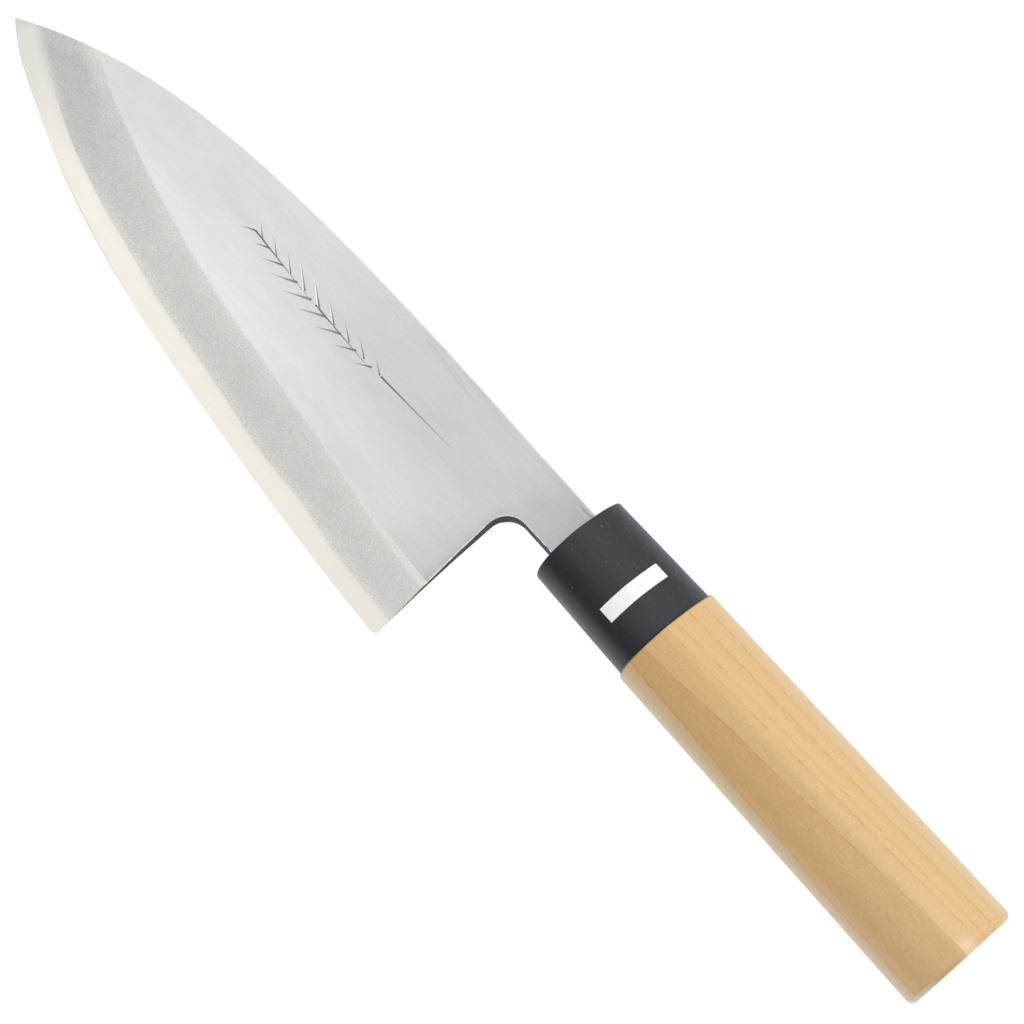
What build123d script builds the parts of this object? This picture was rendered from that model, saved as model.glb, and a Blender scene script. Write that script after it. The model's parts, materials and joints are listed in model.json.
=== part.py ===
from build123d import *
import os
from copy import copy
from math import atan2, cos, degrees, pi, sin, sqrt

# A right-handed deba, the single-bevel Japanese knife for fish and poultry, in millimetres.
# It is drawn with the handle's axis along X, the tip towards +X, the cutting edge towards +Y
# and the bevelled face up, starting at the front of the ferrule. At the end the whole knife is
# laid on its back, the way it lies on a board, and its origin is put under its middle.

# Blade outline, from the front of the ferrule and from the handle's axis
neck_length = 15.36
blade_length = 176.04
heel_drop = 49.85
tip_drop = 15.7
spine_rise = 6.8
neck_rise = 6.15
neck_drop = 7.05
choil_lean = 1.42
choil_bow = 0.39
choil_radius = 5.8
heel_radius = 1.5
heel_overhang = 0.9
choil_set_back = 0.45
eased_edge = 0.3

# Points of the edge, from the heel: share of the blade's length, and share of the way from the
# heel's drop to the tip's drop
edge_shares = [
    (0, 0), (0.178, 0.050), (0.383, 0.148), (0.586, 0.284),
    (0.779, 0.510), (0.898, 0.730), (0.962, 0.874), (1, 1),
]

# Points of the spine, from the ferrule: share of the whole reach, and share of the way from the
# spine's highest line to the tip's drop. The first point stands on the neck.
spine_shares = [
    (0.245, 0), (0.457, 0.018), (0.609, 0.092),
    (0.777, 0.296), (0.877, 0.532), (0.935, 0.727), (1, 1),
]

# Blade thickness: it thins towards the tip and, on the bevelled face, towards the edge
spine_thickness = 7.4
distal_thinning = 4.8
cross_thinning = 4.6
edge_land = 0.12
bevel_width_heel = 17.2
bevel_width_tip = 19.3

# Hard steel layer forged under the soft iron: the width of the bare steel band along the edge is
# a share of the bevel at evenly spaced stations from heel to tip
steel_band_shares = [
    0.273, 0.283, 0.275, 0.298, 0.323, 0.299, 0.284, 0.302, 0.317, 0.324, 0.313,
    0.306, 0.315, 0.304, 0.287, 0.278, 0.271, 0.281, 0.287, 0.283, 0.277,
]
steel_cover = 40.0
steel_thin_edge = 0.35

# Shallow hollow ground into the back of the blade
hollow_depth = 0.35
hollow_rim = 3.6
hollow_heel_rim = 6.0
hollow_tip_rim = 13.0
hollow_sections = 9
hollow_end_share = 0.1

# Tang, burnt into the handle
tang_length = 98.0
tang_width = 10.4
tang_end_width = 5.0
tang_thickness = 5.2
tang_end_thickness = 2.8
neck_seat = 3.0

# Handle: a D-shaped section with a ridge on the bevelled side
ferrule_length = 30.2
handle_length = 128.6
ferrule_front_width = 25.6
ferrule_rear_width = 26.9
wood_front_width = 28.5
wood_butt_width = 30.1
ridge_rise_share = 0.42
back_depth_share = 0.39
back_flat_share = 0.65
ridge_shift = 1.0
ridge_radius = 6.0
spine_flank_shares = [(1, 0.38), (0.50, 0.84)]
edge_flank_shares = [(0.60, 1), (1, 0.75)]
shoulder_radius = 0.8
butt_radius = 1.7
ferrule_front_radius = 0.5

# Ferrule: a moulded cap with a slot for the neck and a socket for the handle's tenon
ferrule_wall = 2.2
ferrule_front_wall = 4.0

# Blank paper strip stuck across the ferrule
label_width = 4.1
label_span = 17.0
label_thickness = 0.12
label_centre = 19.4

# Chiselled sprig on the flat of the blade
sprig_start = 36.0
sprig_length = 72.0
sprig_drop = 7.4
sprig_leaf_length = 7.6
sprig_leaf_width = 0.95
sprig_stem_width = 0.5
sprig_depth = 0.28
sprig_leaf_pairs = 9
sprig_leaf_angle = 31
sprig_bow = 1.6
sprig_stem_strokes = 3
stroke_tail_share = 0.08
leaf_start_share = 0.3
leaf_base_share = 0.5

# Clearances and working values
fit_clearance = 0.12
tang_clearance = 0.2
overrun = 2.0
bevel_overrun = 6.0

upright_share = 0.9

reach = neck_length + blade_length
back_z = -spine_thickness / 2
chord_angle = atan2(heel_drop - tip_drop, blade_length)
inward = Vector(-sin(chord_angle), -cos(chord_angle))


# Height of the flat face above the back of the blade
def front_height(x, y):
    across = (y + spine_rise) / (heel_drop + spine_rise)
    return spine_thickness - distal_thinning * x / reach - cross_thinning * across


def edge_curve(overhang=0):
    drop = heel_drop - tip_drop
    heel_x = neck_length - choil_lean / 2 - overhang
    length = reach - heel_x
    points = [(heel_x + along * length, heel_drop - rise * drop) for along, rise in edge_shares]
    return Spline(*points)


def spine_curve():
    drop = spine_rise + tip_drop
    points = [(along * reach, fall * drop - spine_rise) for along, fall in spine_shares]
    return Spline((0, -neck_rise), *points)


# Outline of blade and neck at one height. The choil is bowed, and its wall leans out at the heel
# and back at the neck.
def blade_outline(height, overhang, set_back):
    edge = edge_curve(overhang)
    spine = spine_curve()
    heel = edge @ 0
    corner = Vector(neck_length + choil_lean / 2 + set_back, neck_drop)
    middle = (heel + corner) / 2 + Vector(choil_bow, 0)
    neck = Polyline(corner, (-neck_seat, neck_drop), (-neck_seat, -neck_rise), spine @ 0)
    face = make_face([spine, edge, ThreePointArc(heel, middle, corner), neck])
    return Pos(0, 0, height) * face, heel, corner


# Flat blank of the blade and neck
def blade_blank():
    under, heel, corner = blade_outline(back_z, 0, 0)
    over, _, _ = blade_outline(back_z + spine_thickness + overrun, heel_overhang, choil_set_back)
    blank = loft([under, over], ruled=True)

    def upright_near(place):
        uprights = blank.edges().filter_by(lambda e: abs((e % 0).Z) > upright_share)
        return uprights.sort_by_distance(place)[0]

    blank = fillet(upright_near(corner), choil_radius)
    blank = fillet(upright_near(heel), heel_radius)
    blank = blank.split(front_plane(), keep=Keep.BOTTOM)
    return fillet(front_rim(blank), eased_edge)


# Edges of the flat face that a finger meets: along the spine, the choil and the neck
def front_rim(blank):
    front = blank.faces().sort_by(lambda face: face.normal_at().Z)[-1]
    edge = edge_curve()
    rim = []
    for side in front.edges():
        middle = side @ 0.5
        at_neck_end = middle.X < -neck_seat / 2
        at_edge = middle.Y > height_on(edge, middle.X) - overrun if middle.X > neck_length + overrun else False
        if not at_neck_end and not at_edge:
            rim.append(side)
    return rim


# The flat face is one plane, tilted towards the tip and the edge
def front_plane():
    tilt_x = distal_thinning / reach
    tilt_y = cross_thinning / (heel_drop + spine_rise)
    origin = (0, 0, back_z + front_height(0, 0))
    return Plane(origin, x_dir=(1, 0, -tilt_x), z_dir=(tilt_x, tilt_y, 1))


# Stations along the edge, run out past both ends, with the share of the way from heel to tip
def edge_stations():
    edge = edge_curve()
    count = len(steel_band_shares)
    shares = [i / (count - 1) for i in range(count)]
    points = [edge @ share for share in shares]
    heel_end = points[0] - (edge % 0) * bevel_overrun
    tip_end = points[-1] + (edge % 1) * bevel_overrun
    return list(zip([0, *shares, 1], [heel_end, *points, tip_end]))


def bevel_width(share):
    return bevel_width_heel + (bevel_width_tip - bevel_width_heel) * share


# Point of the bevelled face at a distance from the edge, in the plane square to the edge's chord
def bevel_point(edge_point, share, distance):
    width = bevel_width(share)
    crest = edge_point + inward * width
    slope = (front_height(crest.X, crest.Y) - edge_land) / width
    place = edge_point + inward * distance
    return Vector(place.X, place.Y, back_z + edge_land + slope * distance)


# Everything straight above or below the ruled surface between two lines of points
def ruled_prism(outer_points, inner_points, height):
    skin = Face.make_surface_from_curves(Edge.make_spline(outer_points), Edge.make_spline(inner_points))
    return Solid.extrude(skin, Vector(0, 0, height))


def bevel_cutter():
    stations = edge_stations()
    outer = [bevel_point(point, share, -overrun) for share, point in stations]
    inner = [bevel_point(point, share, bevel_width(share) + bevel_overrun) for share, point in stations]
    return ruled_prism(outer, inner, 2 * spine_thickness)


# Everything below the weld between soft iron and hard steel
def steel_zone():
    band = [steel_band_shares[0], *steel_band_shares, steel_band_shares[-1]]
    outer, inner = [], []
    for (share, point), band_share in zip(edge_stations(), band):
        weld = bevel_point(point, share, bevel_width(share) * band_share)
        place = point + inward * steel_cover
        inside = Vector(place.X, place.Y, back_z + steel_thin_edge)
        run = weld - inside
        outer.append(weld + run.normalized() * (bevel_width(share) * band_share + overrun))
        inner.append(inside)
    return ruled_prism(outer, inner, -2 * spine_thickness)


# Height of a plan curve at a place along X
def height_on(curve, x):
    line = Line((x, -heel_drop), (x, 2 * heel_drop))
    return curve.intersect(line).vertices()[0].Y


def hollow_cutter():
    edge = edge_curve()
    spine = spine_curve()
    start = neck_length + hollow_heel_rim
    length = reach - hollow_tip_rim - start
    widest = heel_drop + spine_rise - 2 * hollow_rim
    sections = []
    for i in range(hollow_sections):
        x = start + length * i / (hollow_sections - 1)
        low = height_on(spine, x) + hollow_rim
        high = height_on(edge, x) - hollow_rim
        fade = max(sin(pi * i / (hollow_sections - 1)), hollow_end_share)
        depth = hollow_depth * (high - low) / widest * sqrt(fade)
        arc = ThreePointArc((low, 0), ((low + high) / 2, depth), (high, 0))
        closing = Polyline((high, 0), (high, -overrun), (low, -overrun), (low, 0))
        sections.append(Plane.YZ.offset(x) * Pos(0, back_z) * make_face([arc, closing]))
    return loft(sections)


# One chisel stroke along +X: a V groove, wide and deep at its head and thinning to its tail
def chisel_stroke(length, width):
    groove = Polygon((-width, sprig_depth), (width, sprig_depth), (0, -sprig_depth), align=None)
    tail = Plane.YZ.offset(length) * scale(groove, stroke_tail_share)
    return loft([Plane.YZ * groove, tail], ruled=True)


# Place on the sprig's bowed stem, and its direction there in degrees
def stem_place(share):
    bow = Vector(sprig_start + share * sprig_length, sprig_drop + sprig_bow * sin(pi * share))
    slope = sprig_bow * pi * cos(pi * share) / sprig_length
    return bow, degrees(atan2(slope, 1))


# Chiselled ear of grain: a stem of long strokes, and leaves on alternate sides
def sprig_strokes():
    strokes = []

    def strike(share, turn, length, width):
        place, heading = stem_place(share)
        strokes.append(Pos(place) * Rot(0, 0, heading + turn) * chisel_stroke(length, width))

    for i in range(sprig_stem_strokes):
        stroke_length = sprig_length / sprig_stem_strokes
        strike((i + 1) / sprig_stem_strokes, 180, stroke_length, sprig_stem_width)
    count = 2 * sprig_leaf_pairs
    for i in range(count):
        share = (i + 1) / count
        swell = leaf_base_share + (1 - leaf_base_share) * sin(pi * share) ** 2
        start = leaf_start_share + (1 - leaf_start_share) * share
        side = 1 if i % 2 else -1
        strike(start, side * sprig_leaf_angle, sprig_leaf_length * swell, sprig_leaf_width * swell)
    return [front_plane().location * stroke for stroke in strokes]


def tang(margin):
    def section(x, width, thickness):
        return Plane.YZ.offset(x) * Rectangle(width + 2 * margin, thickness + 2 * margin)

    root = section(-neck_seat + margin, tang_width, tang_thickness)
    end = section(-tang_length - margin, tang_end_width, tang_end_thickness)
    return loft([root, end], ruled=True)


# Section of the neck where it enters the ferrule, grown by a margin
def neck_section(margin):
    low = -neck_rise - margin
    high = neck_drop + margin
    back = back_z - margin
    tops = [back_z + front_height(0, y) + margin for y in (low, high)]
    return Plane.YZ * Polygon((low, back), (high, back), (high, tops[1]), (low, tops[0]), align=None)


# D-shaped section of the handle at a place along X: a ridge above, a flat underside below
def handle_section(x, width, inset):
    half = width / 2 - inset
    rise = width * ridge_rise_share - inset
    depth = width * back_depth_share - inset
    flat = width / 2 * back_flat_share
    ridge = (ridge_shift, rise)
    spine_controls = [(-half * across, rise * up) for across, up in spine_flank_shares]
    edge_controls = [(half * across, rise * up) for across, up in edge_flank_shares]
    outline = [
        Bezier((-half, 0), *spine_controls, ridge),
        Bezier(ridge, *edge_controls, (half, 0)),
        EllipticalCenterArc((-flat, 0), half - flat, depth, start_angle=180, arc_size=90),
        Line((-flat, -depth), (flat, -depth)),
        EllipticalCenterArc((flat, 0), half - flat, depth, start_angle=270, arc_size=90),
    ]
    return Plane.YZ.offset(x) * make_face(outline)


def ferrule_body(inset, front_x, rear_x):
    growth = (ferrule_rear_width - ferrule_front_width) / ferrule_length
    front = handle_section(front_x, ferrule_front_width - growth * front_x, inset)
    rear = handle_section(rear_x, ferrule_front_width - growth * rear_x, inset)
    return loft([rear, front], ruled=True)


# The ridge is the highest line of the handle
def soften_ridge(body):
    return fillet(body.edges().sort_by(Axis.Z)[-1], ridge_radius)


def make_ferrule():
    body = soften_ridge(ferrule_body(0, 0, -ferrule_length))
    body = fillet(body.faces().sort_by(Axis.X)[-1].edges(), ferrule_front_radius)
    socket = ferrule_body(ferrule_wall, -ferrule_front_wall, -ferrule_length)
    slot = extrude(neck_section(fit_clearance), ferrule_front_wall + overrun, both=True)
    return body - socket - slot


def make_handle():
    butt = handle_section(-handle_length, wood_butt_width, 0)
    front = handle_section(-ferrule_length, wood_front_width, 0)
    body = soften_ridge(loft([butt, front], ruled=True))
    body = fillet(body.faces().sort_by(Axis.X)[0].edges(), butt_radius)
    body = fillet(body.faces().sort_by(Axis.X)[-1].edges(), shoulder_radius)
    tenon_front = -ferrule_front_wall - fit_clearance
    tenon = ferrule_body(ferrule_wall + fit_clearance, tenon_front, -ferrule_length)
    return body + tenon - tang(tang_clearance)


def make_label():
    skin = ferrule_body(-label_thickness, 0, -ferrule_length) - ferrule_body(0, 0, -ferrule_length)
    strip = Box(label_width, label_span, spine_thickness * 2, align=(Align.CENTER, Align.CENTER, Align.MIN))
    return skin & strip.moved(Location((-label_centre, 0, 0)))


def make_blade():
    blade = blade_blank() - bevel_cutter() - hollow_cutter()
    blade = blade - sprig_strokes()
    zone = steel_zone()
    steel = blade & zone
    iron = blade - zone + tang(0)
    return iron, steel


# The board under the knife: it touches the tip and the flat underside of the handle
def board_plane():
    feet = [
        (-ferrule_front_radius, ferrule_front_width),
        (-ferrule_length - shoulder_radius, wood_front_width),
        (butt_radius - handle_length, wood_butt_width),
    ]
    slope = max((back_z + width * back_depth_share) / (reach - x) for x, width in feet)
    up = Vector(-slope, 0, 1).normalized()
    forward = Vector(1, 0, slope).normalized()
    return Plane((reach, tip_drop, back_z), x_dir=forward, z_dir=up)


# Moves every piece from the drawing position to the board, with the origin under the middle
def laid_on_board(pieces):
    onto_board = board_plane().location.inverse()
    laid = {name: piece.moved(onto_board) for name, piece in pieces.items()}
    box = Compound(children=[copy(piece) for piece in laid.values()]).bounding_box()
    centre = box.center()
    shift = Location((-centre.X, -centre.Y, -box.min.Z))
    return {name: piece.moved(shift) for name, piece in laid.items()}, shift * onto_board


def main():
    iron, steel = make_blade()
    drawn = {
        "iron_body": iron,
        "steel_edge": steel,
        "ferrule": make_ferrule(),
        "handle": make_handle(),
        "label": make_label(),
    }
    pieces, place = laid_on_board(drawn)
    os.makedirs("parts", exist_ok=True)
    for name, piece in pieces.items():
        print(name, len(piece.solids()), round(piece.volume, 1), piece.is_valid)
        export_step(piece, f"parts/{name}.step")
    butt = place * Location((-handle_length, 0, 0))
    rim_y = height_on(edge_curve(), reach / 2) - hollow_rim / 2
    rim = place * Location((reach / 2, rim_y, back_z))
    print("butt", butt.position, "axis", Plane(butt).x_dir * -1)
    print("blade back", rim.position, "axis", Plane(rim).z_dir * -1)


main()
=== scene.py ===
import json
import bpy
from mathutils import Matrix, Vector

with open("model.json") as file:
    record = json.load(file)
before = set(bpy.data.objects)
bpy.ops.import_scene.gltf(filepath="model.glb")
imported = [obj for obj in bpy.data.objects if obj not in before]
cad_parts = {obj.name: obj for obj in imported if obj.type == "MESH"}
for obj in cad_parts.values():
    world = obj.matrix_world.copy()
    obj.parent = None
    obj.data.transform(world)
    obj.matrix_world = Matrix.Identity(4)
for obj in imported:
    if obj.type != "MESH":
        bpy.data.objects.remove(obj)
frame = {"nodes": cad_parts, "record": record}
print("frame loaded:", len(frame["nodes"]), "nodes")
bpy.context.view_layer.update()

# The knife's own axes: along the handle to the tip, across to the edge, up out of the bevelled face.
# Their origin is the middle of the ferrule's front, and they come from the record's flat faces.
mounts = {mount["name"]: mount for mount in frame["record"]["mounts"]}
handleLength = 0.1286  # metres
mmPerMetre = 1000
alongAxis = -Vector(mounts["handle_butt"]["axis"]).normalized()
upAxis = -Vector(mounts["blade_back"]["axis"]).normalized()
acrossAxis = upAxis.cross(alongAxis).normalized()
knifeOrigin = Vector(mounts["handle_butt"]["pos_m"]) + alongAxis * handleLength
knifeFrame = Matrix((alongAxis, acrossAxis, upAxis)).transposed().to_4x4()
knifeFrame.translation = knifeOrigin


def fromKnife(x, y, z):  # millimetres in the knife's axes to metres in the row's
    return knifeFrame @ (Vector((x, y, z)) / mmPerMetre)


# Small helpers for shader trees

black = (0, 0, 0, 1)


def fill(tree, node, wires):  # each input gets a link or a plain value
    for name, value in wires.items():
        socket = node.inputs[name]
        if isinstance(value, bpy.types.NodeSocket):
            tree.links.new(value, socket)
        else:
            socket.default_value = value


def put(tree, kind, wires, **settings):
    node = tree.nodes.new(kind)
    for name, value in settings.items():
        setattr(node, name, value)
    fill(tree, node, wires)
    return node


def place(tree, group, **wires):
    node = tree.nodes.new("ShaderNodeGroup")
    node.node_tree = group
    fill(tree, node, wires)
    return node.outputs


def sums(tree, operation, a, b=0.0, c=0.0):
    return put(tree, "ShaderNodeMath", {0: a, 1: b, 2: c}, operation=operation).outputs[0]


def product(tree, *values):
    result = values[0]
    for value in values[1:]:
        result = sums(tree, "MULTIPLY", result, value)
    return result


def raised(tree, value, mask, amount):  # the value, with this much more where the mask is full
    return sums(tree, "MULTIPLY_ADD", mask, amount, value)


def centred(tree, wave):  # a wave between 0 and 1, moved to swing about 0
    return sums(tree, "SUBTRACT", wave, 0.5)


def swung(tree, value, wave, amount):  # the value, moved up and down by such a wave
    return raised(tree, value, centred(tree, wave), amount)


def smooth(tree, value, low, high, start=0.0, end=1.0):
    wires = {"Value": value, "From Min": low, "From Max": high, "To Min": start, "To Max": end}
    return put(tree, "ShaderNodeMapRange", wires, interpolation_type="SMOOTHSTEP").outputs[0]


def within(tree, spot, run, rise):  # a mask over a stretch along the knife and one across it
    return product(tree, smooth(tree, spot["Along"], *run), smooth(tree, spot["Across"], *rise))


def between(tree, value, start, end):  # a mask that comes in over one span and goes out over the other
    return product(tree, smooth(tree, value, *start), smooth(tree, value, *end))


def tint(tree, factor, a, b):  # the Mix node's colours are its inputs 6 and 7 and its output 2
    return put(tree, "ShaderNodeMix", {0: factor, 6: a, 7: b}, data_type="RGBA").outputs[2]


def vectorSums(tree, operation, a, b):
    return put(tree, "ShaderNodeVectorMath", {0: a, 1: b}, operation=operation).outputs


def dot(tree, vector, direction):
    return vectorSums(tree, "DOT_PRODUCT", vector, direction)["Value"]


def stretched(tree, where, sizes):  # place measured in these sizes, so noise of scale 1 has them
    return vectorSums(tree, "MULTIPLY", where, tuple(1 / size for size in sizes))[0]


def noise(tree, vector, detail, rough, scale=1.0):
    wires = {"Vector": vector, "Scale": scale, "Detail": detail, "Roughness": rough}
    return put(tree, "ShaderNodeTexNoise", wires).outputs["Fac"]


def waves(tree, where, sizes, detail, rough):  # noise of these sizes in millimetres
    return noise(tree, stretched(tree, where, sizes), detail, rough)


def patches(tree, where, sizes, detail, rough, low, high):  # the share of such noise between two levels
    return smooth(tree, waves(tree, where, sizes, detail, rough), low, high)


def curveThrough(tree, value, spots):
    curve = put(tree, "ShaderNodeFloatCurve", {"Value": value})
    line = curve.mapping.curves[0]
    line.points[0].location, line.points[1].location = spots[0], spots[-1]
    for spot in spots[1:-1]:
        line.points.new(*spot)
    curve.mapping.update()
    return curve.outputs[0]


def newGroup(name, takes, gives):
    tree = bpy.data.node_groups.new(name, "ShaderNodeTree")
    kinds = {"vector": "NodeSocketVector", "value": "NodeSocketFloat"}
    for label, (kind, value) in takes.items():
        socket = tree.interface.new_socket(name=label, in_out="INPUT", socket_type=kinds[kind])
        if value is not None:
            socket.default_value = value
    for label, kind in gives.items():
        tree.interface.new_socket(name=label, in_out="OUTPUT", socket_type=kinds[kind])
    return tree, tree.nodes.new("NodeGroupInput").outputs, tree.nodes.new("NodeGroupOutput").inputs


def newMaterial(name):
    material = bpy.data.materials.new(name)
    material.use_nodes = True
    tree = material.node_tree
    tree.nodes.clear()
    surface = tree.nodes.new("ShaderNodeBsdfPrincipled")
    output = tree.nodes.new("ShaderNodeOutputMaterial")
    tree.links.new(surface.outputs[0], output.inputs[0])
    return material, tree, surface


def dress(tree, surface, colour, rough, relief, depth, strength=1.0):
    tree.links.new(colour, surface.inputs["Base Color"])
    tree.links.new(rough, surface.inputs["Roughness"])
    bump = put(tree, "ShaderNodeBump", {"Height": relief, "Distance": depth, "Strength": strength})
    tree.links.new(bump.outputs[0], surface.inputs["Normal"])


# Effects that several finishes share

effects = {
    # noise as detail and roughness, or detail, roughness and scale; spans say which levels show
    "hair": (3, 0.7), "hairSpan": (0.28, 0.72),
    "bandStretch": (0.5, 0.14, 0.14), "band": (2, 0.5), "bandSpan": (0.3, 0.7),
    "grain": (2, 0.6, 1.0), "grainSpan": (0.3, 0.7),
    "specks": (1, 0.5, 0.63), "specksSpan": (0.62, 0.78),
    "clouds": (3, 0.55, 0.06), "cloudsSpan": (0.3, 0.7),
    "markCore": 0.4,  # share of a mark's radius inside which it is full
}


def makeKnifePlace():  # position in millimetres and facing, in the knife's axes
    tree, takes, gives = newGroup("knifePlace", {}, {
        "Place": "vector", "Along": "value", "Across": "value", "Up": "value",
        "FacingTip": "value", "FacingEdge": "value", "FacingUp": "value"})
    toKnife = knifeFrame.inverted()
    turn = toKnife.to_euler()
    spot = tree.nodes.new("ShaderNodeTexCoord").outputs
    where = put(tree, "ShaderNodeMapping", {
        "Vector": spot["Object"], "Location": toKnife.translation * mmPerMetre,
        "Rotation": turn, "Scale": (mmPerMetre, mmPerMetre, mmPerMetre)}).outputs[0]
    facing = put(tree, "ShaderNodeMapping", {"Vector": spot["Normal"], "Rotation": turn},
                 vector_type="VECTOR").outputs[0]
    tree.links.new(where, gives["Place"])
    for vector, labels in ((where, ("Along", "Across", "Up")),
                           (facing, ("FacingTip", "FacingEdge", "FacingUp"))):
        parts = put(tree, "ShaderNodeSeparateXYZ", {0: vector}).outputs
        for label, socket in zip(labels, parts):
            tree.links.new(socket, gives[label])
    return tree


def makeHairlines():  # fine parallel lines along the knife, as an abrasive belt leaves them
    tree, takes, gives = newGroup(
        "hairlines",
        {"Place": ("vector", None), "Length": ("value", 30.0), "Width": ("value", 0.3)},
        {"Lines": "value", "Bands": "value"})
    sizes = put(tree, "ShaderNodeCombineXYZ", {0: takes["Length"], 1: takes["Width"], 2: takes["Width"]})
    scaled = vectorSums(tree, "DIVIDE", takes["Place"], sizes.outputs[0])[0]
    wide = vectorSums(tree, "MULTIPLY", scaled, effects["bandStretch"])[0]
    hair = noise(tree, scaled, *effects["hair"])
    band = noise(tree, wide, *effects["band"])
    tree.links.new(smooth(tree, hair, *effects["hairSpan"]), gives["Lines"])
    tree.links.new(smooth(tree, band, *effects["bandSpan"]), gives["Bands"])
    return tree


def inUnits(tree, where, unit):  # place measured in a size that is itself a socket
    return put(tree, "ShaderNodeVectorMath", {0: where, 3: sums(tree, "DIVIDE", 1.0, unit)},
               operation="SCALE").outputs[0]


def makeGrit():  # blasted or moulded grain, with a few brighter specks
    tree, takes, gives = newGroup(
        "grit", {"Place": ("vector", None), "Size": ("value", 0.4)},
        {"Grain": "value", "Specks": "value", "Clouds": "value"})
    scaled = inUnits(tree, takes["Place"], takes["Size"])
    for kind in ("grain", "specks", "clouds"):
        level = noise(tree, scaled, *effects[kind])
        tree.links.new(smooth(tree, level, *effects[kind + "Span"]), gives[kind.capitalize()])
    return tree


def makeMarks():  # sparse small marks: one in some cells, round or drawn out by the place that is given
    tree, takes, gives = newGroup(
        "marks",
        {"Place": ("vector", None), "Spacing": ("value", 4.0), "Radius": ("value", 0.1),
         "Share": ("value", 0.3)},
        {"Marks": "value"})
    scaled = inUnits(tree, takes["Place"], takes["Spacing"])
    cells = put(tree, "ShaderNodeTexVoronoi", {"Vector": scaled, "Scale": 1.0}).outputs
    chance = put(tree, "ShaderNodeSeparateColor", {0: cells["Color"]}).outputs[0]
    radius = sums(tree, "DIVIDE", takes["Radius"], takes["Spacing"])
    inside = smooth(tree, cells["Distance"], radius, product(tree, radius, effects["markCore"]))
    marked = product(tree, inside, sums(tree, "LESS_THAN", chance, takes["Share"]))
    tree.links.new(marked, gives["Marks"])
    return tree


knifePlace = makeKnifePlace()
hairlines = makeHairlines()
grit = makeGrit()
marks = makeMarks()
print("shared effects made")

# Blade: where its edge, weld and bevel run

# The edge bulges out of the straight line from heel to tip; widths are measured square to that line
edgeLine = {
    "heel": (15.36, 49.85), "tip": (191.40, 15.70), "bevelHeel": 17.2, "bevelTip": 19.3,
    # points of the edge from heel to tip, in shares of the way along the knife and of the way across it
    "edgeShares": [(0, 0), (0.178, 0.050), (0.383, 0.148), (0.586, 0.284), (0.779, 0.510),
                   (0.898, 0.730), (0.962, 0.874), (1, 1)],
    "bulgeLimit": 12.0,  # a little more than the edge bulges anywhere
    # the weld's distance from the edge at even steps from heel to tip, in shares of the bevel's width
    "weldShares": [0.273, 0.283, 0.275, 0.298, 0.323, 0.299, 0.284, 0.302, 0.317, 0.324, 0.313,
                   0.306, 0.315, 0.304, 0.287, 0.278, 0.271, 0.281, 0.287, 0.283, 0.277],
}


def makeBevelPlace():  # millimetres in from the edge, past the weld and past the bevel's crest
    tree, takes, gives = newGroup(
        "bevelPlace", {"Place": ("vector", None)},
        {"FromEdge": "value", "PastWeld": "value", "PastCrest": "value", "ToTip": "value"})
    heel, limit = Vector(edgeLine["heel"]), edgeLine["bulgeLimit"]
    chord = Vector(edgeLine["tip"]) - heel
    toTip = chord.normalized()
    outward = Vector((-toTip.y, toTip.x))
    points = [Vector((along * chord.x, across * chord.y)) for along, across in edgeLine["edgeShares"]]
    bulges = [(point.dot(toTip) / chord.length, point.dot(outward) / limit) for point in points]
    fromHeel = vectorSums(tree, "SUBTRACT", takes["Place"], heel.to_3d())[0]
    share = sums(tree, "DIVIDE", dot(tree, fromHeel, toTip.to_3d()), chord.length)
    bulge = product(tree, curveThrough(tree, share, bulges), limit)
    fromEdge = sums(tree, "SUBTRACT", bulge, dot(tree, fromHeel, outward.to_3d()))
    width = raised(tree, edgeLine["bevelHeel"], share, edgeLine["bevelTip"] - edgeLine["bevelHeel"])
    shares = edgeLine["weldShares"]
    weldSpots = [(i / (len(shares) - 1), shares[i]) for i in range(len(shares))]
    weld = product(tree, width, curveThrough(tree, share, weldSpots))
    tree.links.new(fromEdge, gives["FromEdge"])
    tree.links.new(sums(tree, "SUBTRACT", fromEdge, weld), gives["PastWeld"])
    tree.links.new(sums(tree, "SUBTRACT", fromEdge, width), gives["PastCrest"])
    tree.links.new(share, gives["ToTip"])
    return tree


bevelPlace = makeBevelPlace()

# How the dictionaries below are read: a Run is a span along the knife, a Rise one across it, an Up one
# of height, a Depth one in from the edge, the weld, the crest or the spine, and a Fade one over the
# border that it is named for, all in millimetres. A Share is a span from the heel, 0, to the tip, 1,
# and a Facing one of how squarely the surface looks up, to the edge or to the tip. Where a span has
# four numbers, the last two are the values at its ends. Noise is given by its sizes in millimetres,
# its detail and its roughness, and a patchy one then by the levels between which it shows.

# Blade: soft iron

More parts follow.
